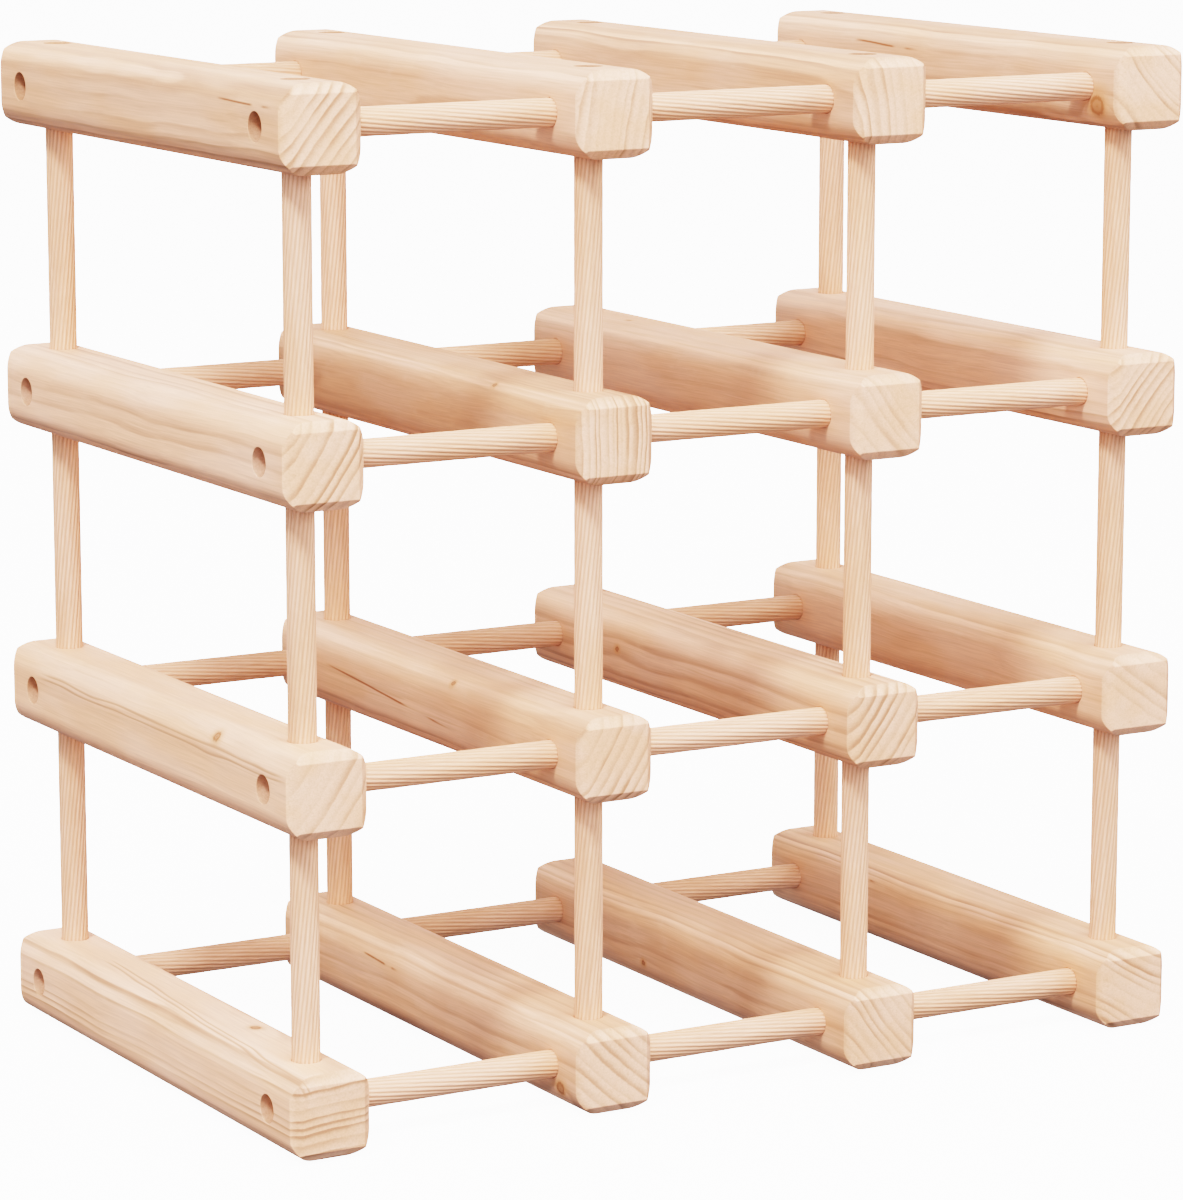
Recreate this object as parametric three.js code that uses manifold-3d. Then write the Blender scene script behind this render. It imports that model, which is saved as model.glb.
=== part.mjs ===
// Modular wooden wine rack. Squared bars run front to back in a grid, and round
// dowels pushed into blind sockets in their faces hold them apart: rails across,
// posts up. Millimetres, +X right, +Y back, +Z up. The origin is on the floor,
// under the middle of the rack.

import * as THREE from 'three';
import { mergeVertices } from 'three/addons/utils/BufferGeometryUtils.js';
import Module from 'manifold-3d';

// Driving dimensions
const COLUMNS = 4;              // bars side by side
const ROWS = 4;                 // bars above each other
const PITCH = 110;              // bar centre to bar centre, both ways
const BAR_SIZE = 30;            // width and height of a bar
const BAR_LENGTH = 230;
const BAR_EDGE_RADIUS = 9;      // round-over on the four long edges
const BAR_END_CHAMFER = 3.3;    // 45 degree chamfer around each end
const SOCKET_SETBACK = 20.4;    // socket axis behind the bar's end
const SOCKET_DEPTH = 8.5;
const DOWEL_DIAMETER = 10;
const DOWEL_CHAMFER = 0.8;      // lead-in at each dowel end
const FIT_GAP = 0.3;            // between a dowel and its socket, all round

const EDGE_SEGMENTS = 3;        // facets in each round-over
const ROUND_SIDES = 12;         // facets around a dowel and its socket

// Worked out from them
const HALF_BAR = BAR_SIZE / 2;
const HALF_LENGTH = BAR_LENGTH / 2;
const CELL_WIDTH = PITCH - BAR_SIZE;
const DOWEL_LENGTH = CELL_WIDTH + 2 * (SOCKET_DEPTH - FIT_GAP);
const LONG_RAIL_LENGTH = DOWEL_LENGTH + (COLUMNS - 2) * PITCH;
const ROW_AXIS_Y = HALF_LENGTH - SOCKET_SETBACK;
const SOCKET_RADIUS = (DOWEL_DIAMETER / 2 + FIT_GAP) / Math.cos(Math.PI / ROUND_SIDES);
const TOOL_OVERRUN = 1;         // how far a cutting tool passes the face it cuts

const columnX = (column) => (column - (COLUMNS - 1) / 2) * PITCH;
const rowZ = (row) => HALF_BAR + row * PITCH;

const barWood = () => new THREE.MeshStandardMaterial({
  color: 0xe9cdae, roughness: 0.62, metalness: 0,
});
const dowelWood = () => new THREE.MeshStandardMaterial({
  color: 0xe6c8a6, roughness: 0.6, metalness: 0,
});

const wasm = await Module();
wasm.setup();

// Closed three.js geometry to a solid that can be cut
function solidFrom(geometry) {
  const bare = geometry.clone();
  bare.deleteAttribute('normal');
  bare.deleteAttribute('uv');
  const merged = mergeVertices(bare, 1e-4);
  return new wasm.Manifold(new wasm.Mesh({
    numProp: 3,
    vertProperties: new Float32Array(merged.attributes.position.array),
    triVerts: new Uint32Array(merged.index.array),
  }));
}

// The cut solid back to a three.js geometry
function geometryFrom(solid) {
  const mesh = solid.getMesh();
  const geometry = new THREE.BufferGeometry();
  const positions = new Float32Array(mesh.vertProperties);
  geometry.setAttribute('position', new THREE.BufferAttribute(positions, 3));
  geometry.setIndex(new THREE.BufferAttribute(new Uint32Array(mesh.triVerts), 1));
  geometry.computeVertexNormals();
  return geometry;
}

// Square outline with rounded corners
function roundedSquare(size, radius) {
  const half = size / 2;
  const inset = half - radius;
  const outline = new THREE.Shape();
  outline.moveTo(half, -inset);
  outline.lineTo(half, inset);
  outline.absarc(inset, inset, radius, 0, Math.PI / 2);
  outline.lineTo(-inset, half);
  outline.absarc(-inset, inset, radius, Math.PI / 2, Math.PI);
  outline.lineTo(-half, -inset);
  outline.absarc(-inset, -inset, radius, Math.PI, 1.5 * Math.PI);
  outline.lineTo(inset, -half);
  outline.absarc(inset, -inset, radius, 1.5 * Math.PI, 2 * Math.PI);
  return outline;
}

// Side outline of a bar: a long rectangle with its four corners cut at 45 degrees
function chamferedSide() {
  const outline = new THREE.Shape();
  const inner = HALF_BAR - BAR_END_CHAMFER;
  const shoulder = HALF_LENGTH - BAR_END_CHAMFER;
  outline.moveTo(inner, -HALF_LENGTH);
  outline.lineTo(HALF_BAR, -shoulder);
  outline.lineTo(HALF_BAR, shoulder);
  outline.lineTo(inner, HALF_LENGTH);
  outline.lineTo(-inner, HALF_LENGTH);
  outline.lineTo(-HALF_BAR, shoulder);
  outline.lineTo(-HALF_BAR, -shoulder);
  outline.lineTo(-inner, -HALF_LENGTH);
  outline.closePath();
  return outline;
}

// A shape extruded evenly to both sides of its own plane
function prism(shape, depth) {
  const geometry = new THREE.ExtrudeGeometry(shape, {
    depth, bevelEnabled: false, curveSegments: EDGE_SEGMENTS,
  });
  return geometry.translate(0, 0, -depth / 2);
}

// Round tool along +X that cuts a hole of the given length, its middle at x
function drill(length, x, y) {
  const tool = new THREE.CylinderGeometry(SOCKET_RADIUS, SOCKET_RADIUS, length, ROUND_SIDES);
  tool.rotateZ(Math.PI / 2);
  return tool.translate(x, y, 0);
}

// One bar, centred on the origin and running along Y. It has a socket in each of
// its four faces near both ends. A bar that the one-piece back rail crosses is
// drilled right through instead, across its back end.
function barGeometry(backRailPassesThrough) {
  const section = prism(roundedSquare(BAR_SIZE, BAR_EDGE_RADIUS), BAR_LENGTH);
  section.rotateX(Math.PI / 2);
  const chamferedInX = prism(chamferedSide(), BAR_SIZE + 2 * TOOL_OVERRUN);
  const chamferedInZ = chamferedInX.clone().rotateY(Math.PI / 2);
  let bar = solidFrom(section);
  bar = bar.intersect(solidFrom(chamferedInX));
  bar = bar.intersect(solidFrom(chamferedInZ));

  const length = SOCKET_DEPTH + TOOL_OVERRUN;
  const middle = HALF_BAR - SOCKET_DEPTH + length / 2;
  for (const y of [-ROW_AXIS_Y, ROW_AXIS_Y]) {
    for (let quarter = 0; quarter < 4; quarter += 1) {
      const tool = drill(length, middle, y);
      tool.rotateY(quarter * Math.PI / 2);
      bar = bar.subtract(solidFrom(tool));
    }
  }
  if (backRailPassesThrough) {
    bar = bar.subtract(solidFrom(drill(BAR_SIZE + 2 * TOOL_OVERRUN, 0, ROW_AXIS_Y)));
  }
  return geometryFrom(bar);
}

// Round dowel along Z, centred on the origin, with a small chamfer at both ends
function dowelGeometry(length) {
  const radius = DOWEL_DIAMETER / 2;
  const half = length / 2;
  const profile = [
    new THREE.Vector2(0, -half),
    new THREE.Vector2(radius - DOWEL_CHAMFER, -half),
    new THREE.Vector2(radius, -half + DOWEL_CHAMFER),
    new THREE.Vector2(radius, half - DOWEL_CHAMFER),
    new THREE.Vector2(radius - DOWEL_CHAMFER, half),
    new THREE.Vector2(0, half),
  ];
  const geometry = new THREE.LatheGeometry(profile, ROUND_SIDES);
  return geometry.rotateX(Math.PI / 2);
}

function place(group, name, geometry, material, x, y, z) {
  const mesh = new THREE.Mesh(geometry, material);
  mesh.name = name;
  mesh.position.set(x, y, z);
  group.add(mesh);
}

const sides = [
  { name: 'front', y: -ROW_AXIS_Y },
  { name: 'back', y: ROW_AXIS_Y },
];
const hasLongBackRail = (row) => row === 0 || row === ROWS - 1;

// Bars, row 1 at the bottom and column 1 at the left
function addBars(group) {
  for (let row = 0; row < ROWS; row += 1) {
    for (let column = 0; column < COLUMNS; column += 1) {
      const inner = column > 0 && column < COLUMNS - 1;
      const geometry = barGeometry(inner && hasLongBackRail(row));
      const name = `bar_row${row + 1}_col${column + 1}`;
      place(group, name, geometry, barWood(), columnX(column), 0, rowZ(row));
    }
  }
}

// Rails: dowels across, from each bar to its right-hand neighbour. The back rails
// of the bottom and the top row are each one long rod.
function addRails(group) {
  for (const side of sides) {
    for (let row = 0; row < ROWS; row += 1) {
      if (side.name === 'back' && hasLongBackRail(row)) {
        const rod = dowelGeometry(LONG_RAIL_LENGTH).rotateY(Math.PI / 2);
        place(group, `rail_back_row${row + 1}`, rod, dowelWood(), 0, side.y, rowZ(row));
        continue;
      }
      for (let bay = 0; bay < COLUMNS - 1; bay += 1) {
        const rail = dowelGeometry(DOWEL_LENGTH).rotateY(Math.PI / 2);
        const x = columnX(bay) + PITCH / 2;
        const name = `rail_${side.name}_row${row + 1}_bay${bay + 1}`;
        place(group, name, rail, dowelWood(), x, side.y, rowZ(row));
      }
    }
  }
}

// Posts: dowels up, from each bar to the one above it
function addPosts(group) {
  for (const side of sides) {
    for (let column = 0; column < COLUMNS; column += 1) {
      for (let tier = 0; tier < ROWS - 1; tier += 1) {
        const z = rowZ(tier) + PITCH / 2;
        const name = `post_${side.name}_col${column + 1}_tier${tier + 1}`;
        place(group, name, dowelGeometry(DOWEL_LENGTH), dowelWood(), columnX(column), side.y, z);
      }
    }
  }
}

const wineRack = new THREE.Group();
addBars(wineRack);
addRails(wineRack);
addPosts(wineRack);

export default wineRack;
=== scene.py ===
"""Looks for the modular pine wine rack: sixteen squared bars held in a grid by
forty-eight fluted dowels. Metres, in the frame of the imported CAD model."""

import math
import random

import bmesh
import bpy
from mathutils import Matrix, Vector


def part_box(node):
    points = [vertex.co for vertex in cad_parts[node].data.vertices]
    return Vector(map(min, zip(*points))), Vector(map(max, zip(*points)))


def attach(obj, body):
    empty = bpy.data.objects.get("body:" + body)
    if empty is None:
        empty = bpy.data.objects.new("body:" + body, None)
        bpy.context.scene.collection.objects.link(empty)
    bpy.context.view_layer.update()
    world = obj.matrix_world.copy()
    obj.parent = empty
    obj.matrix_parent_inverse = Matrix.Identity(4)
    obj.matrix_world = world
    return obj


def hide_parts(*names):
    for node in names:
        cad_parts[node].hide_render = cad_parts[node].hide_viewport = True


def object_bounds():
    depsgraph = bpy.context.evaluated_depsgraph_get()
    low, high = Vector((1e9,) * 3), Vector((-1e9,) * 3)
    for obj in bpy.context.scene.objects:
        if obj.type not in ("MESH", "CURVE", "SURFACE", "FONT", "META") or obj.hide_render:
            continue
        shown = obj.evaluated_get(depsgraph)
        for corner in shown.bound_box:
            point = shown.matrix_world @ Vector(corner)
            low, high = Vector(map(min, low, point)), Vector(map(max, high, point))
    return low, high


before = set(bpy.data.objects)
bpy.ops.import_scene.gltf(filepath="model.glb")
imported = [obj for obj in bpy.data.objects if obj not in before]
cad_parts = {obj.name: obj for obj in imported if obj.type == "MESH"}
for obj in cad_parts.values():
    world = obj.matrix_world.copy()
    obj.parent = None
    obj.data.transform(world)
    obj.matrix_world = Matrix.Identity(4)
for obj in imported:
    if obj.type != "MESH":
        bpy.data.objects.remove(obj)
cad_low, cad_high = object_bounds()
scene = bpy.context.scene

MM = 0.001
ROWS = 4
COLUMNS = 4

# Shape of a bar and a dowel
EDGE_RADIUS = 9 * MM          # round-over on a bar's long edges
END_CHAMFER = 3.3 * MM
EDGE_EASE = 0.28 * MM         # softening of every sharp edge
SOCKET_RADIUS = 4.98 * MM
SOCKET_DEPTH = 8.5 * MM
DOWEL_RADIUS = 4.95 * MM
DOWEL_ENTRY = 8.2 * MM        # how far a dowel reaches into a socket
DOWEL_END_CHAMFER = 0.7 * MM
FLUTES = 20
FLUTE_DEPTH = 0.24 * MM
FLUTE_NARROWING = 1.6         # above 1, the ridges are broader than the grooves
FLUTE_HELIX = math.radians(7)

# Fineness of the meshes
EDGE_SEGMENTS = 14
SOCKET_SEGMENTS = 56
EASE_SEGMENTS = 3
POINTS_PER_FLUTE = 6
DOWEL_STEPS = 18

# Cutting and joining of the meshes
SHARP_ANGLE = math.radians(32)    # an edge that turns by more than this is eased
DRILL_OVERSHOOT = 2 * MM          # how far a drill stands out of the face it cuts
WELD_DISTANCE = 1e-6

BAR_SEED = 7
DOWEL_SEED = 21


# ---------------------------------------------------------------- camera

CAMERA_PLACE = Vector((-0.8799, -1.5206, 0.4843))
CAMERA_YAW = math.radians(30.085)      # turned right of straight ahead
CAMERA_PITCH = math.radians(10.552)    # tipped down
CAMERA_LENS_MM = 146.65
CAMERA_SENSOR_MM = 36.0


def make_camera():
    data = bpy.data.cameras.new("camera")
    data.lens = CAMERA_LENS_MM
    data.sensor_width = CAMERA_SENSOR_MM
    data.clip_start = 0.05
    data.clip_end = 100
    camera = bpy.data.objects.new("camera", data)
    camera.location = CAMERA_PLACE
    camera.rotation_euler = (math.pi / 2 - CAMERA_PITCH, 0, -CAMERA_YAW)
    scene.collection.objects.link(camera)
    scene.camera = camera


# ---------------------------------------------------------------- meshes

def new_object(name, mesh):
    piece = bpy.data.objects.new(name, mesh)
    scene.collection.objects.link(piece)
    return piece


def new_mesh(name, bm):
    mesh = bpy.data.meshes.new(name)
    bm.to_mesh(mesh)
    bm.free()
    return mesh


def rounded_square(size, radius):
    """Corner points of a rounded square, as (x, z), in order round its edge."""
    inset = size / 2 - radius
    points = []
    for quarter, (sx, sz) in enumerate([(1, 1), (-1, 1), (-1, -1), (1, -1)]):
        for step in range(EDGE_SEGMENTS + 1):
            angle = (quarter + step / EDGE_SEGMENTS) * math.pi / 2
            x = sx * inset + radius * math.cos(angle)
            z = sz * inset + radius * math.sin(angle)
            points.append((x, z))
    return points


def plain_bar(width, length):
    """Rounded bar along Y with a 45 degree chamfer around each end."""
    bm = bmesh.new()
    outline = rounded_square(width, EDGE_RADIUS)
    front = [bm.verts.new((x, -length / 2, z)) for x, z in outline]
    back = [bm.verts.new((x, length / 2, z)) for x, z in outline]
    for i in range(len(outline)):
        j = (i + 1) % len(outline)
        bm.faces.new((front[i], front[j], back[j], back[i]))
    bm.faces.new(front)
    bm.faces.new(back)
    bmesh.ops.recalc_face_normals(bm, faces=bm.faces)
    for end in (-1, 1):
        for side in ((1, 0), (0, 1), (-1, 0), (0, -1)):
            outward = Vector((side[0], end, side[1])).normalized()
            chamfer_y = end * (length / 2 - END_CHAMFER)
            on_plane = Vector((side[0] * width / 2, chamfer_y, side[1] * width / 2))
            cut = bmesh.ops.bisect_plane(
                bm, geom=bm.verts[:] + bm.edges[:] + bm.faces[:],
                plane_co=on_plane, plane_no=outward, clear_outer=True)
            rim = [e for e in cut["geom_cut"] if isinstance(e, bmesh.types.BMEdge)]
            bmesh.ops.edgeloop_fill(bm, edges=rim)
    bmesh.ops.remove_doubles(bm, verts=bm.verts, dist=WELD_DISTANCE)
    bmesh.ops.recalc_face_normals(bm, faces=bm.faces)
    return new_mesh("plain_bar", bm)


def socket_cutters(width, socket_y):
    """The eight drills of a bar, one into each face near both ends, as one mesh."""
    bm = bmesh.new()
    reach = SOCKET_DEPTH + DRILL_OVERSHOOT
    out = width / 2 - SOCKET_DEPTH + reach / 2
    for y in (-socket_y, socket_y):
        for quarter in range(4):
            turn = Matrix.Rotation(quarter * math.pi / 2, 4, "Y")
            place = Matrix.Translation((0, y, 0)) @ turn @ Matrix.Translation((0, 0, out))
            bmesh.ops.create_cone(
                bm, cap_ends=True, segments=SOCKET_SEGMENTS,
                radius1=SOCKET_RADIUS, radius2=SOCKET_RADIUS, depth=reach, matrix=place)
    bmesh.ops.recalc_face_normals(bm, faces=bm.faces)
    return new_mesh("socket_cutters", bm)


def finished_bar(width, length, socket_y):
    """Drilled bar with every sharp edge eased, centred on the origin."""
    bar = new_object("bar_pattern", plain_bar(width, length))
    drills = new_object("drill_pattern", socket_cutters(width, socket_y))
    cut = bar.modifiers.new("sockets", "BOOLEAN")
    cut.operation = "DIFFERENCE"
    cut.solver = "EXACT"
    cut.object = drills
    ease = bar.modifiers.new("eased_edges", "BEVEL")
    ease.limit_method = "ANGLE"
    ease.angle_limit = SHARP_ANGLE
    ease.width = EDGE_EASE
    ease.segments = EASE_SEGMENTS
    ease.use_clamp_overlap = True
    even = bar.modifiers.new("even_shading", "WEIGHTED_NORMAL")
    even.mode = "FACE_AREA"
    even.weight = 80
    for face in bar.data.polygons:
        face.use_smooth = True
    bpy.context.view_layer.update()
    graph = bpy.context.evaluated_depsgraph_get()
    mesh = bpy.data.meshes.new_from_object(bar.evaluated_get(graph))
    bpy.data.objects.remove(bar)
    bpy.data.objects.remove(drills)
    return mesh


def fluted_dowel(length, phase):
    """Dowel along Z with right-handed spiral flutes. Attribute groove is 0 on the
    ridges and 1 at the bottom of the flutes."""
    around = FLUTES * POINTS_PER_FLUTE
    half = length / 2
    body = [-half + length * step / DOWEL_STEPS for step in range(1, DOWEL_STEPS)]
    heights = [-half, -half + DOWEL_END_CHAMFER, *body, half - DOWEL_END_CHAMFER, half]
    twist = math.tan(FLUTE_HELIX) / DOWEL_RADIUS
    bm = bmesh.new()
    depth_layer = bm.verts.layers.float.new("groove")
    rings = []
    for height in heights:
        at_tip = abs(height) > half - DOWEL_END_CHAMFER / 2
        outer = DOWEL_RADIUS - (DOWEL_END_CHAMFER if at_tip else 0)
        ring = []
        for i in range(around):
            groove = 0.5 - 0.5 * math.cos(2 * math.pi * i / POINTS_PER_FLUTE)
            radius = outer - FLUTE_DEPTH * groove ** FLUTE_NARROWING
            angle = 2 * math.pi * i / around + twist * height + phase
            vert = bm.verts.new((radius * math.cos(angle), radius * math.sin(angle), height))
            vert[depth_layer] = groove
            ring.append(vert)
        rings.append(ring)
    for low, high in zip(rings, rings[1:]):
        for i in range(around):
            j = (i + 1) % around
            bm.faces.new((low[i], low[j], high[j], high[i]))
    bm.faces.new(rings[0][::-1])
    bm.faces.new(rings[-1])
    for face in bm.faces:
        face.smooth = len(face.verts) == 4
    return new_mesh("fluted_dowel", bm)


def add_vectors(mesh, name, of_point):
    """Stores a vector worked out from each point's place, for the material to read."""
    layer = mesh.attributes.new(name, "FLOAT_VECTOR", "POINT")
    for vertex, item in zip(mesh.vertices, layer.data):
        item.vector = of_point(vertex.co)


def add_numbers(mesh, name, of_point):
    """Stores a number worked out from each point's place, for the material to read."""
    layer = mesh.attributes.new(name, "FLOAT", "POINT")
    layer.data.foreach_set("value", [of_point(vertex.co) for vertex in mesh.vertices])


# ---------------------------------------------------------------- wood

class Nodes:
    """Short way to lay shader nodes and join them."""

    def __init__(self, name):
        self.material = bpy.data.materials.new(name)
        self.material.use_nodes = True
        self.tree = self.material.node_tree
        self.tree.nodes.clear()

    def add(self, kind, **settings):
        node = self.tree.nodes.new(kind)
        for key, value in settings.items():
            setattr(node, key, value)
        return node

    def feed(self, socket, value):
        if isinstance(value, bpy.types.NodeSocket):
            self.tree.links.new(value, socket)
        else:
            socket.default_value = value

    def attribute(self, name, output="Fac"):
        return self.add("ShaderNodeAttribute", attribute_name=name).outputs[output]

    def math(self, operation, a, b=0.0, c=0.0, clamp=False):
        node = self.add("ShaderNodeMath", operation=operation, use_clamp=clamp)
        for socket, value in zip(node.inputs, (a, b, c)):
            self.feed(socket, value)
        return node.outputs[0]

    def plus(self, a, b):
        return self.math("ADD", a, b)

    def times(self, a, b, clamp=False):
        return self.math("MULTIPLY", a, b, clamp=clamp)

    def absolute(self, a):
        return self.math("ABSOLUTE", a)

    def vector(self, operation, a, b=(0, 0, 0), scale=1.0):
        node = self.add("ShaderNodeVectorMath", operation=operation)
        self.feed(node.inputs[0], a)
        if operation == "SCALE":
            self.feed(node.inputs[3], scale)
        else:
            self.feed(node.inputs[1], b)
        return node.outputs["Value" if operation == "LENGTH" else "Vector"]

    def shift(self, place, offset, reach):
        """A place moved by an offset times a reach."""
        return self.vector("ADD", place, self.vector("SCALE", offset, scale=reach))

    def distance(self, place, stretch):
        """Distance from the origin, with each axis stretched by its own number."""
        return self.vector("LENGTH", self.vector("MULTIPLY", place, stretch))

    def split(self, vector):
        node = self.add("ShaderNodeSeparateXYZ")
        self.feed(node.inputs[0], vector)
        return node.outputs

    def join(self, x, y, z):
        node = self.add("ShaderNodeCombineXYZ")
        for socket, value in zip(node.inputs, (x, y, z)):
            self.feed(socket, value)
        return node.outputs[0]

    def noise(self, place, scale, detail, roughness=0.5, output="Fac"):
        """Noise with one scale, or with a separate scale along each axis."""
        if isinstance(scale, tuple):
            place = self.vector("MULTIPLY", place, scale)
            scale = 1.0
        node = self.add("ShaderNodeTexNoise", noise_dimensions="3D")
        self.feed(node.inputs["Vector"], place)
        self.feed(node.inputs["Scale"], scale)
        self.feed(node.inputs["Detail"], detail)
        self.feed(node.inputs["Roughness"], roughness)
        return node.outputs[output]

    def noise_offset(self, place, scale, detail):
        """Noise as a direction, centred on nought."""
        colour = self.noise(place, scale, detail, output="Color")
        return self.vector("SUBTRACT", colour, (0.5, 0.5, 0.5))

    def remap(self, value, low, high, to_low, to_high, smooth=False):
        node = self.add("ShaderNodeMapRange", clamp=True)
        node.interpolation_type = "SMOOTHSTEP" if smooth else "LINEAR"
        for socket, number in zip(node.inputs, (value, low, high, to_low, to_high)):
            self.feed(socket, number)
        return node.outputs[0]

    def mix(self, factor, a, b, blend="MIX"):
        node = self.add("ShaderNodeMix", data_type="RGBA", blend_type=blend, clamp_factor=True)
        self.feed(node.inputs["Factor"], factor)
        self.feed(node.inputs[6], a)
        self.feed(node.inputs[7], b)
        return node.outputs[2]

    def curve(self, value, points):
        node = self.add("ShaderNodeFloatCurve")
        curve = node.mapping.curves[0]
        curve.points[0].location = points[0]
        curve.points[1].location = points[-1]
        for place in points[1:-1]:
            curve.points.new(*place)
        node.mapping.update()
        self.feed(node.inputs["Value"], value)
        return node.outputs[0]


EARLY_WOOD = (0.88, 0.512, 0.345, 1)
LATE_WOOD = (0.44, 0.225, 0.13, 1)
WARM_PATCH = (0.81, 0.43, 0.255, 1)
SCUFFED_WOOD = (0.93, 0.66, 0.48, 1)
KNOT_WOOD = (0.30, 0.125, 0.055, 1)
KNOT_HALO = (0.60, 0.27, 0.12, 1)
PITCH = (0.27, 0.105, 0.045, 1)         # resin in a thin line

# Noise in the log: features per mm across it, again across it, and along it
WANDER_SCALE = (0.021, 0.021, 0.0125)
RIPPLE_SCALE = (0.15, 0.15, 0.022)
FADE_SCALE = (0.05, 0.05, 0.013)
FIBRE_SCALE = (1.9, 1.9, 0.035)
STREAK_SCALE = (0.75, 0.75, 0.011)
PATCH_SCALE = (0.06, 0.06, 0.016)
SCUFF_SCALE = (0.16, 0.16, 0.07)

# How far the log's shape wanders and ripples, and how wide a knot pushes the rings, in mm
WANDER_REACH = 4.6
RIPPLE_REACH = 0.7
KNOT_SWEEP_REACH = 4.6

SIDE_RINGS = 0.68             # strength of the rings on long faces
END_RINGS = 1.12              # and on end grain
DRILLED_RINGS = 0.15          # share of that strength that shows in a socket
SOCKET_PAINTED_SHADE = 0.62          # painted shade: how light a socket's wall is painted beside a face

# Darkness across one growth ring, across a knot from its middle, and across a vein line
RING_PROFILE = [(0, 0.0), (0.25, 0.06), (0.50, 0.32), (0.72, 0.82), (0.85, 1.0), (0.94, 0.40), (1, 0.0)]
KNOT_PROFILE = [(0, 0.80), (0.30, 0.62), (0.52, 0.90), (0.72, 0.30), (1, 0.0)]
VEIN_PROFILE = [(0, 0.0), (0.30, 0.08), (0.62, 0.85), (0.78, 1.0), (0.90, 0.25), (1, 0.0)]


def growth_rings(n, log, bent, grain, ring_strength):
    """How dark the growth rings are at each point, from 0 to 1. They are shells around
    the log's axis and sweep outwards round the knot."""
    spacing, contrast, tone = grain
    radius = n.distance(bent, (1, 1, 0))
    from_knot = n.distance(n.attribute("knot", "Vector"), (0.55, 1, 0.35))
    closeness = n.math("POWER", n.math("DIVIDE", from_knot, KNOT_SWEEP_REACH), 2.0)
    sweep = n.math("EXPONENT", n.times(closeness, -1.0))
    radius = n.plus(radius, n.times(sweep, n.times(n.attribute("knot_size"), 1.1)))

    # no two rings are equally wide or equally dark
    turns = n.math("DIVIDE", radius, spacing)
    uneven = n.noise(n.join(n.times(turns, 0.45), 0.0, tone), 1.0, 1.0)
    turns = n.plus(turns, n.times(uneven, 1.7))
    ring = n.curve(n.math("FRACT", turns), RING_PROFILE)
    per_ring = n.noise(n.join(n.math("FLOOR", turns), tone, 0.0), 3.3, 0.0)
    ring = n.times(ring, n.remap(per_ring, 0.34, 0.64, 0.22, 1.25))
    fade = n.noise(log, FADE_SCALE, 2.0)
    ring = n.times(ring, n.remap(fade, 0.36, 0.64, 0.45, 1.0))

    side, end = SIDE_RINGS * ring_strength, END_RINGS * ring_strength
    strength = n.times(contrast, n.remap(n.attribute("end_grain"), 0.0, 1.0, side, end))
    drilled = n.remap(n.attribute("drilled"), 0.0, 1.0, 1.0, DRILLED_RINGS)
    return n.times(ring, n.times(strength, drilled), clamp=True)


def wood_colour(n, log, bent, ring, fibre, tone):
    """Early and late wood with slow patches and streaks, then the piece's own tone, which on the back
    rails holds painted shade, and painted shade on a socket's wall.
    """
    streak = n.noise(bent, STREAK_SCALE, 3.0, 0.6)
    patch = n.noise(log, PATCH_SCALE, 2.0)
    warm = n.remap(patch, 0.38, 0.66, 0.0, 0.75, smooth=True)
    colour = n.mix(warm, EARLY_WOOD, WARM_PATCH)
    colour = n.mix(ring, colour, LATE_WOOD)
    colour = n.mix(n.remap(streak, 0.50, 0.74, 0.0, 0.26), colour, LATE_WOOD)

    # tone and warmth leave the end grain alone
    on_side = n.math("SUBTRACT", 1.0, n.attribute("end_grain"))
    # painted shade: a socket's wall is painted darker than the faces around it
    drilled = n.remap(n.attribute("drilled"), 0.0, 1.0, 1.0, SOCKET_PAINTED_SHADE)
    shade = n.times(n.remap(fibre, 0.3, 0.7, 0.86, 1.12), drilled)
    shade = n.times(shade, n.plus(n.times(n.math("SUBTRACT", tone, 1.0), on_side), 1.0))
    warmth = n.times(n.attribute("warmth"), on_side)
    green = n.times(shade, n.math("MULTIPLY_ADD", warmth, -0.4, 1.0))
    blue = n.times(shade, n.math("SUBTRACT", 1.0, warmth))
    return n.mix(1.0, colour, n.join(shade, green, blue), "MULTIPLY")


def add_knot(n, colour):
    """A small brown eye in a warm halo."""
    knot = n.attribute("knot", "Vector")
    knot_size = n.attribute("knot_size")
    ragged = n.times(n.math("SUBTRACT", n.noise(knot, 0.9, 3.0), 0.5), 1.5)
    eye = n.plus(n.distance(knot, (0.8, 1, 0.12)), ragged)
    halo = n.remap(n.math("DIVIDE", eye, knot_size), 0.8, 3.2, 0.55, 0.0, smooth=True)
    core = n.curve(n.math("DIVIDE", eye, n.times(knot_size, 1.6)), KNOT_PROFILE)
    colour = n.mix(halo, colour, KNOT_HALO)
    return n.mix(core, colour, KNOT_WOOD)


def add_vein(n, colour, ripple):
    """Two or three dark lines side by side, running the length of a bar."""
    vein = n.split(n.shift(n.attribute("vein", "Vector"), ripple, 4.5))
    beside = n.math("FRACT", n.math("MULTIPLY_ADD", vein[1], 0.52, 0.35))
    lines = n.curve(beside, VEIN_PROFILE)
    lines = n.times(lines, n.remap(n.absolute(vein[1]), 1.3, 3.0, 0.75, 0.0, smooth=True))
    lines = n.times(lines, n.remap(n.absolute(vein[0]), 9.2, 10.6, 1.0, 0.0, smooth=True))
    lines = n.times(lines, n.remap(n.absolute(vein[2]), 3.5, 5.5, 1.0, 0.0))
    return n.mix(lines, colour, LATE_WOOD)


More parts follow.
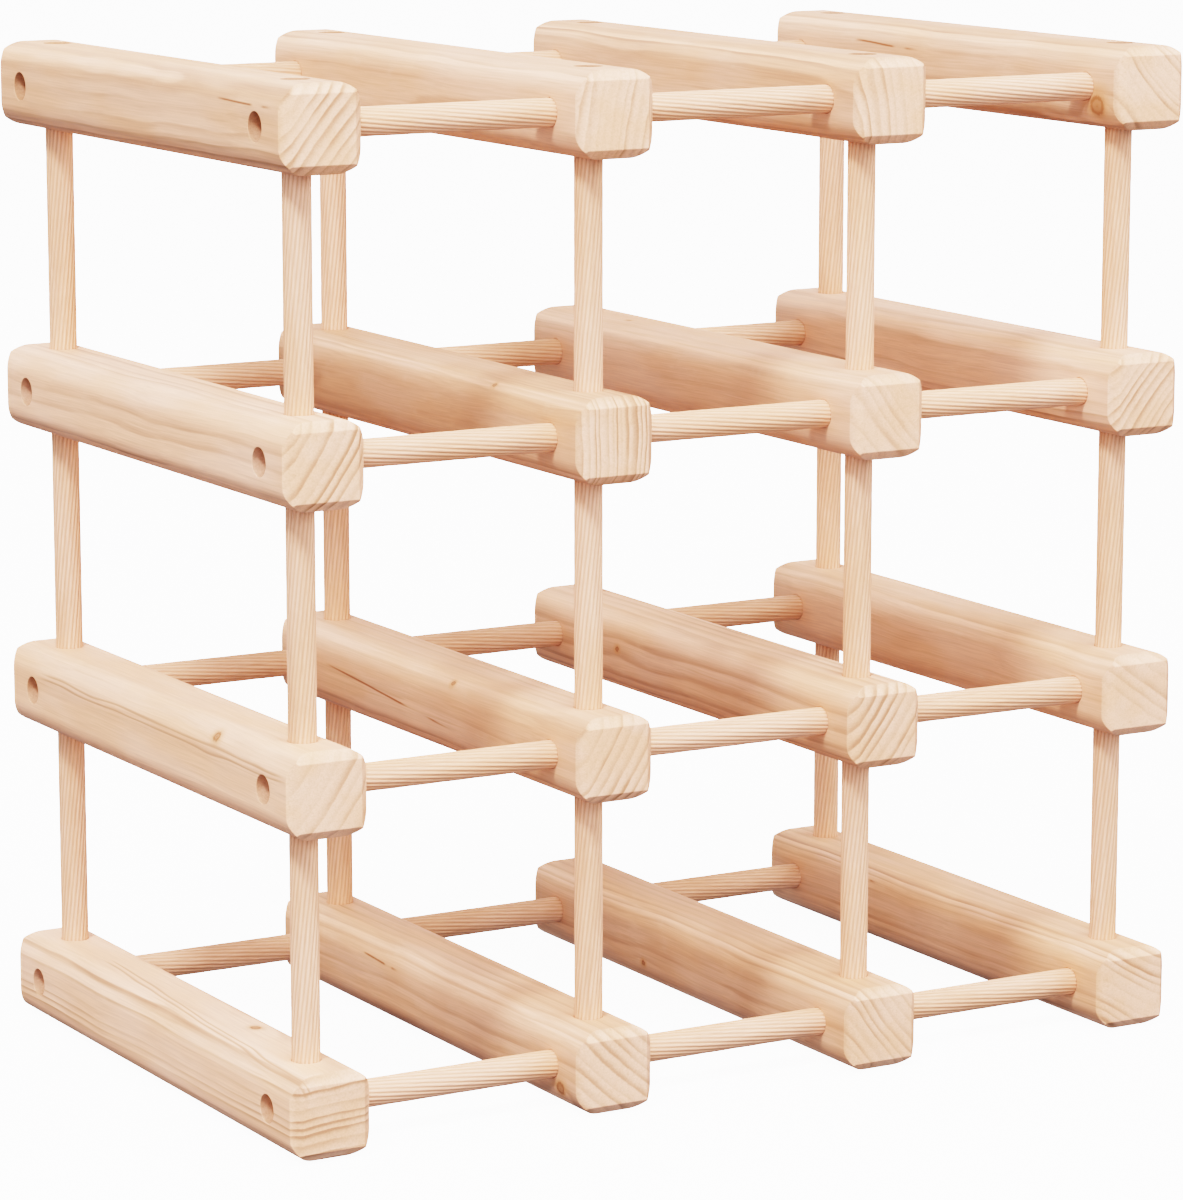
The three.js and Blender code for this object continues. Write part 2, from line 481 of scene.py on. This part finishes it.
def add_resin(n, colour, ripple):
    """A thin line of resin lying along the grain, broken in places."""
    line = n.split(n.shift(n.attribute("pitch", "Vector"), ripple, 1.2))
    aside = n.absolute(n.plus(line[1], n.times(line[0], 0.05)))
    along = n.remap(n.absolute(line[0]), 6.0, 11.0, 1.0, 0.0, smooth=True)
    wave = n.math("SINE", n.math("MULTIPLY_ADD", line[0], 0.40, 0.43))
    breaks = n.remap(wave, -0.95, -0.5, 0.1, 1.0, smooth=True)
    near_face = n.remap(n.absolute(line[2]), 4.0, 6.0, 1.0, 0.0)
    resin = n.times(n.times(along, near_face), n.remap(aside, 0.05, 0.60, 0.95, 0.0, smooth=True))
    return n.mix(n.times(resin, breaks), colour, PITCH)


def pine(name, ring_strength, fluted=False):
    """Solid pine, with the growth rings of one log for a piece's end grain and long
    grain. Attribute log is the place in the log in mm and grain is (ring spacing in
    mm, contrast, tone). Attributes knot, pitch and vein are places relative to such a
    mark. Numbers are knot_size in mm, warmth, end_grain, drilled and groove, and one
    that a piece lacks counts as nought."""
    n = Nodes(name)
    log = n.attribute("log", "Vector")
    grain = n.split(n.attribute("grain", "Vector"))
    ripple = n.noise_offset(log, RIPPLE_SCALE, 1.0)
    bent = n.shift(log, n.noise_offset(log, WANDER_SCALE, 2.0), WANDER_REACH)
    bent = n.shift(bent, ripple, RIPPLE_REACH)
    fibre = n.noise(bent, FIBRE_SCALE, 4.0, 0.62)
    ring = growth_rings(n, log, bent, grain, ring_strength)

    colour = wood_colour(n, log, bent, ring, fibre, grain[2])
    colour = add_knot(n, colour)
    colour = add_vein(n, colour, ripple)
    colour = add_resin(n, colour, ripple)
    scuff = n.remap(n.noise(log, SCUFF_SCALE, 5.0, 0.7), 0.55, 0.72, 0.0, 1.0, smooth=True)
    colour = n.mix(n.times(scuff, 0.10), colour, SCUFFED_WOOD)

    height = n.plus(n.times(ring, 0.5), n.times(fibre, 0.6))
    roughness = n.remap(n.plus(fibre, n.times(ring, -0.4)), 0.2, 0.8, 0.50, 0.68)
    roughness = n.plus(roughness, n.times(scuff, 0.10))
    if fluted:
        groove = n.attribute("groove")
        # painted shade: the flutes are painted darker towards their bottoms
        flute_painted_shade = n.times(n.math("POWER", groove, FLUTE_NARROWING), 0.60)
        colour = n.mix(flute_painted_shade, colour, LATE_WOOD)
        roughness = n.plus(roughness, n.times(groove, 0.08))

    bump = n.add("ShaderNodeBump")
    n.feed(bump.inputs["Height"], height)
    bump.inputs["Strength"].default_value = 0.35
    bump.inputs["Distance"].default_value = 0.08 * MM
    surface = n.add("ShaderNodeBsdfPrincipled")
    n.feed(surface.inputs["Base Color"], colour)
    n.feed(surface.inputs["Roughness"], roughness)
    n.feed(surface.inputs["Normal"], bump.outputs[0])
    surface.inputs["IOR"].default_value = 1.45
    surface.inputs["Specular IOR Level"].default_value = 0.35
    output = n.add("ShaderNodeOutputMaterial")
    n.feed(output.inputs["Surface"], surface.outputs[0])
    return n.material


# Growth rings as they show on each bar's front end: the direction of the lines from
# level in degrees, their spacing in mm, how far off the log's axis lies in mm (its
# sign says which side), and the strength of the lines. Rows count from the bottom.
END_GRAIN = {
    (4, 1): (50, 3.6, -170, 0.85), (4, 2): (79, 3.0, -160, 0.60),
    (4, 3): (100, 3.6, 190, 0.85), (4, 4): (134, 3.1, -70, 0.85),
    (3, 1): (56, 3.6, 170, 1.00), (3, 2): (90, 2.2, 220, 1.00),
    (3, 3): (132, 4.2, -170, 0.50), (3, 4): (50, 3.0, -140, 0.80),
    (2, 1): (54, 4.6, 160, 0.65), (2, 2): (57, 3.9, 180, 0.80),
    (2, 3): (54, 3.8, 190, 0.90), (2, 4): (145, 5.0, -180, 0.50),
    (1, 1): (3, 3.2, -200, 1.00), (1, 2): (138, 3.9, -120, 0.80),
    (1, 3): (127, 3.5, -170, 0.75), (1, 4): (152, 3.5, -130, 0.85),
}

# How light each bar's long faces are, where 1 is the plain wood, and how much warmer
TONE = {
    (4, 1): (0.90, 0.05), (4, 2): (0.88, 0.00), (4, 3): (0.81, 0.01), (4, 4): (0.80, 0.00),
    (3, 1): (1.05, -0.03), (3, 2): (0.78, 0.08), (3, 3): (0.88, -0.03), (3, 4): (0.97, -0.06),
    (2, 1): (1.05, 0.03), (2, 2): (0.86, 0.03), (2, 3): (0.90, 0.00), (2, 4): (0.89, 0.03),
    (1, 1): (1.13, -0.02), (1, 2): (0.88, 0.04), (1, 3): (0.85, 0.07), (1, 4): (0.89, 0.08),
}

# Small knots: place along the bar from its middle, which way it faces, size, in mm
KNOTS = {
    (4, 4): (-102, (-1, -0.44), 3.2), (1, 1): (-50, (0.2, 1), 1.5),
    (1, 2): (-101, (-1, -0.5), 2.0), (3, 2): (-51, (-0.82, 0.82), 0.8),
    (2, 1): (-57, (-0.9, 0.73), 1.6), (2, 2): (-21, (-0.87, 0.78), 0.9),
    (2, 3): (48, (-1, 0.11), 0.9), (1, 3): (28, (-1, -0.44), 0.9),
    (3, 3): (60, (-0.2, 1), 0.8), (4, 2): (70, (1, 0.3), 1.3),
}

# Lines of resin: place along the bar from its middle, which way it faces, and half its
# length, in mm, and for one that drifts sideways, how far it does so per mm
RESIN_LINES = {
    (4, 1): (-86, (-1, 0.47), 21), (4, 4): (36, (-1, 0.47), 22), (4, 3): (-30, (-1, -0.7), 12),
    (1, 2): (34, (-1, 0.50), 14), (2, 2): (28, (-1, -0.06), 50, 0.065),
    (1, 4): (48, (-1, 0.7), 12), (3, 1): (-100, (0.2, -1), 12),
}

# Long dark veins of two or three lines, given in the same way
VEINS = {(2, 1): (-8, (-1, 0.42), 98), (1, 1): (-35, (-0.53, 0.85), 84, 0.053)}

# A piece without a mark has it so many mm off that it doesn't show
FAR_OFF = 400
NO_KNOT = (FAR_OFF, (1, 0), 0.3)
NO_LINE = (FAR_OFF, (1, 0), 10)

# Every dowel is of the same straight-grained wood
DOWEL_RING_SPACING = 1.9      # mm
DOWEL_CONTRAST = 0.55

LOG_START = 900               # a piece starts somewhere in this length of its log, mm
BAR_LEAN = 0.012              # most that a bar leans from its log's axis, mm per mm
DOWEL_LEAN = 0.02
SOCKET_MARGIN = 0.1           # mm, takes in the points on a socket's own wall
END_DEPTH = 2                 # mm, how near a bar's end a point is end grain
CORNER_REACH = 1.14           # how far out a rounded corner lies, where a face is at 1


def bar_attributes(mesh, centre, half_width, half_length, socket_y, row, column, draw):
    """Gives a bar its own place in a log, and its marks. Sizes are in mm."""
    angle, spacing, pith, strength = END_GRAIN[row, column]
    turn = math.radians(angle)
    pith_x, pith_z = -math.sin(turn) * pith, math.cos(turn) * pith
    lean_x, lean_z = draw.uniform(-BAR_LEAN, BAR_LEAN), draw.uniform(-BAR_LEAN, BAR_LEAN)
    start = draw.uniform(0, LOG_START)
    tone, warmth = TONE[row, column]
    socket_radius = SOCKET_RADIUS / MM + SOCKET_MARGIN

    def in_log(point):
        x, y, z = (point - centre) / MM
        from_front = y + half_length
        return (x - pith_x - lean_x * from_front, z - pith_z - lean_z * from_front, y + start)

    def from_mark(along, facing, half_size=10, slope=0):
        """Places relative to a mark: along the grain in tenths of its half size,
        across it in mm, and outwards in mm. A slope makes the mark drift sideways."""
        outward = Vector((facing[0], 0, facing[1])).normalized()
        sideways = outward.cross(Vector((0, 1, 0)))
        corner = (outward.x ** 4 + outward.z ** 4) ** -0.25
        surface = half_width * min(corner, CORNER_REACH)

        def place(point):
            offset = (point - centre) / MM
            from_middle = offset.y - along
            across = offset.dot(sideways) + slope * from_middle
            return (from_middle * 10 / half_size, across, offset.dot(outward) - surface)
        return place

    def is_drilled(point):
        x, y, z = (point - centre) / MM
        from_socket = abs(abs(y) - socket_y)
        below_face = half_width - SOCKET_MARGIN
        in_side = math.hypot(from_socket, z) < socket_radius and abs(x) < below_face
        in_top = math.hypot(from_socket, x) < socket_radius and abs(z) < below_face
        return float(in_side or in_top)

    def is_end_grain(point):
        return float(abs(point.y - centre.y) / MM > half_length - END_DEPTH)

    along, facing, knot_size = KNOTS.get((row, column), NO_KNOT)
    add_vectors(mesh, "log", in_log)
    add_vectors(mesh, "knot", from_mark(along, facing))
    add_vectors(mesh, "pitch", from_mark(*RESIN_LINES.get((row, column), NO_LINE)))
    add_vectors(mesh, "vein", from_mark(*VEINS.get((row, column), NO_LINE)))
    add_vectors(mesh, "grain", lambda point: (spacing, strength, tone))
    add_numbers(mesh, "warmth", lambda point: warmth)
    add_numbers(mesh, "knot_size", lambda point: knot_size)
    add_numbers(mesh, "drilled", is_drilled)
    add_numbers(mesh, "end_grain", is_end_grain)


def dowel_attributes(mesh, draw, shade):
    """Gives a dowel its own place in a straight-grained log. Its axis is its own Z."""
    away = draw.uniform(40, 90)
    turn = draw.uniform(0, 2 * math.pi)
    lean = draw.uniform(-DOWEL_LEAN, DOWEL_LEAN)
    start = draw.uniform(0, LOG_START)
    # for a back rail, shade is painted shade that darkens its wood
    tone = draw.uniform(0.98, 1.08) * shade

    def in_log(point):
        x, y, z = point / MM
        return (x + away * math.cos(turn) + lean * z, y + away * math.sin(turn), z + start)

    add_vectors(mesh, "log", in_log)
    for mark in ("knot", "pitch", "vein"):
        add_vectors(mesh, mark, lambda point: (FAR_OFF, FAR_OFF, FAR_OFF))
    add_vectors(mesh, "grain", lambda point: (DOWEL_RING_SPACING, DOWEL_CONTRAST, tone))
    add_numbers(mesh, "knot_size", lambda point: NO_KNOT[2])


# ---------------------------------------------------------------- the rack

RAIL_PAINTED_SHADE = {"front": 1.0, "back": 0.84}     # how light the rails are painted; the back rails' lower value is painted shade

bar_boxes = {
    (row, column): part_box(f"bar_row{row}_col{column}")
    for row in range(1, ROWS + 1) for column in range(1, COLUMNS + 1)
}


def build_bars(material):
    low, high = bar_boxes[1, 1]
    width, length = high.x - low.x, high.y - low.y
    rail_low, rail_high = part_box("rail_front_row1_bay1")
    socket_y = -(rail_low.y + rail_high.y) / 2
    pattern = finished_bar(width, length, socket_y)
    sizes = (width / 2 / MM, length / 2 / MM, socket_y / MM)
    draw = random.Random(BAR_SEED)
    for (row, column), (low, high) in bar_boxes.items():
        centre = (low + high) / 2
        mesh = pattern.copy()
        mesh.transform(Matrix.Translation(centre))
        bar_attributes(mesh, centre, *sizes, row, column, draw)
        mesh.materials.clear()
        mesh.materials.append(material)
        name = f"bar_row{row}_col{column}"
        piece = new_object(f"pine_{name}", mesh)
        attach(piece, "root")
        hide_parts(name)


def build_dowel(name, node, start, end, material, draw, shade=1.0):
    """One dowel between two facing bar sides, standing for a CAD node."""
    run = (end - start).normalized()
    length = (end - start).length + 2 * DOWEL_ENTRY
    mesh = fluted_dowel(length, draw.uniform(0, 2 * math.pi))
    dowel_attributes(mesh, draw, shade)
    upright = run.to_track_quat("Z", "Y").to_matrix().to_4x4()
    mesh.transform(Matrix.Translation((start + end) / 2) @ upright)
    mesh.materials.append(material)
    piece = new_object(name, mesh)
    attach(piece, "root")
    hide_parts(node)


def build_rails(material, draw):
    """The back rails of the bottom and top rows are one node each in the CAD model, and
    the three dowels of such a row share it."""
    for side in ("front", "back"):
        for row in range(1, ROWS + 1):
            for bay in range(1, COLUMNS):
                name = f"rail_{side}_row{row}_bay{bay}"
                one_rod = side == "back" and row in (1, ROWS)
                node = f"rail_{side}_row{row}" if one_rod else name
                low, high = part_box(node)
                y, z = (low.y + high.y) / 2, (low.z + high.z) / 2
                start = Vector((bar_boxes[row, bay][1].x, y, z))
                end = Vector((bar_boxes[row, bay + 1][0].x, y, z))
                build_dowel(f"dowel_{name}", node, start, end, material, draw, RAIL_PAINTED_SHADE[side])


def build_posts(material, draw):
    for side in ("front", "back"):
        for column in range(1, COLUMNS + 1):
            for tier in range(1, ROWS):
                node = f"post_{side}_col{column}_tier{tier}"
                low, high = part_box(node)
                x, y = (low.x + high.x) / 2, (low.y + high.y) / 2
                start = Vector((x, y, bar_boxes[tier, column][1].z))
                end = Vector((x, y, bar_boxes[tier + 1, column][0].z))
                build_dowel(f"dowel_{node}", node, start, end, material, draw)


# ---------------------------------------------------------------- studio

FLOOR_HALF_SIZE = 14
FLOOR_DROP = 0.5 * MM         # keeps the floor clear of the bars' undersides
FLOOR_GLOW = 4.5              # bright enough to look like blank paper


def make_floor():
    """White glowing floor that throws no light back on the wood."""
    bm = bmesh.new()
    corners = [(-1, -1), (1, -1), (1, 1), (-1, 1)]
    bm.faces.new([bm.verts.new((x * FLOOR_HALF_SIZE, y * FLOOR_HALF_SIZE, 0)) for x, y in corners])
    mesh = new_mesh("floor", bm)
    floor = new_object("floor", mesh)
    material = bpy.data.materials.new("floor_paint")
    material.use_nodes = True
    surface = material.node_tree.nodes["Principled BSDF"]
    surface.inputs["Base Color"].default_value = (0.82, 0.90, 0.88, 1)
    surface.inputs["Roughness"].default_value = 0.9
    surface.inputs["Emission Color"].default_value = (1, 1, 1, 1)
    surface.inputs["Emission Strength"].default_value = FLOOR_GLOW
    mesh.materials.append(material)
    floor.location.z = -FLOOR_DROP
    floor.visible_diffuse = False
    floor.visible_glossy = False


LIGHT_DISTANCE = 2.4

# Soft boxes round the rack: degrees left of the front, degrees up, size in metres,
# watts, colour
SOFT_BOXES = {
    "key": (55, 48.5, 0.36, 54.0, (1.0, 0.91, 0.895)),
    "front_left_fill": (28, 15, 1.2, 22.5, (1.0, 0.935, 1.0)),
    "right_fill": (-56, 29, 1.2, 30.0, (1.0, 0.915, 0.935)),
    "top_fill": (0, 59, 1.2, 26.0, (1.0, 0.87, 0.765)),
    "back_fill": (180, 25, 1.2, 9.0, (1.0, 0.92, 0.935)),
}
SKY_TINT = (1.0, 0.92, 0.955)
SKY_STRENGTH = 0.82
GROUND_TINT = (0.93, 0.96, 1.12)
GROUND_STRENGTH = 0.28        # light from below the horizon
HORIZON_BLEND = 0.02          # half the height of the band where one turns to the other


def make_soft_box(name, around, up, size, power, colour):
    data = bpy.data.lights.new(name, "AREA")
    data.shape = "SQUARE"
    data.size = size
    data.energy = power
    data.color = colour
    light = bpy.data.objects.new(name, data)
    around, up = math.radians(around), math.radians(up)
    level = math.cos(up)
    away = Vector((-math.sin(around) * level, -math.cos(around) * level, math.sin(up)))
    light.location = (cad_low + cad_high) / 2 + away * LIGHT_DISTANCE
    light.rotation_mode = "QUATERNION"
    light.rotation_quaternion = away.to_track_quat("Z", "Y")
    scene.collection.objects.link(light)


def make_world():
    """Even light from the upper half of the room and a little from the lower half."""
    world = bpy.data.worlds.new("studio")
    world.use_nodes = True
    nodes, links = world.node_tree.nodes, world.node_tree.links
    place = nodes.new("ShaderNodeTexCoord")
    split = nodes.new("ShaderNodeSeparateXYZ")
    above = nodes.new("ShaderNodeMapRange")
    above.inputs["From Min"].default_value = -HORIZON_BLEND
    above.inputs["From Max"].default_value = HORIZON_BLEND
    light = nodes.new("ShaderNodeMix")
    light.data_type = "RGBA"
    light.inputs[6].default_value = (*(GROUND_STRENGTH * part for part in GROUND_TINT), 1)
    light.inputs[7].default_value = (*(SKY_STRENGTH * part for part in SKY_TINT), 1)
    links.new(place.outputs["Generated"], split.inputs[0])
    links.new(split.outputs["Z"], above.inputs["Value"])
    links.new(above.outputs[0], light.inputs[0])
    links.new(light.outputs[2], nodes["Background"].inputs["Color"])
    scene.world = world


def make_lights():
    for name, settings in SOFT_BOXES.items():
        make_soft_box(name, *settings)
    make_world()
    scene.view_settings.view_transform = "Filmic"
    scene.view_settings.look = "Very High Contrast"
    scene.view_settings.exposure = 0.0


make_camera()
build_bars(pine("bar_pine", 1.0))
dowel_pine = pine("dowel_pine", 0.6, fluted=True)
dowel_draw = random.Random(DOWEL_SEED)
build_rails(dowel_pine, dowel_draw)
build_posts(dowel_pine, dowel_draw)
make_floor()
make_lights()
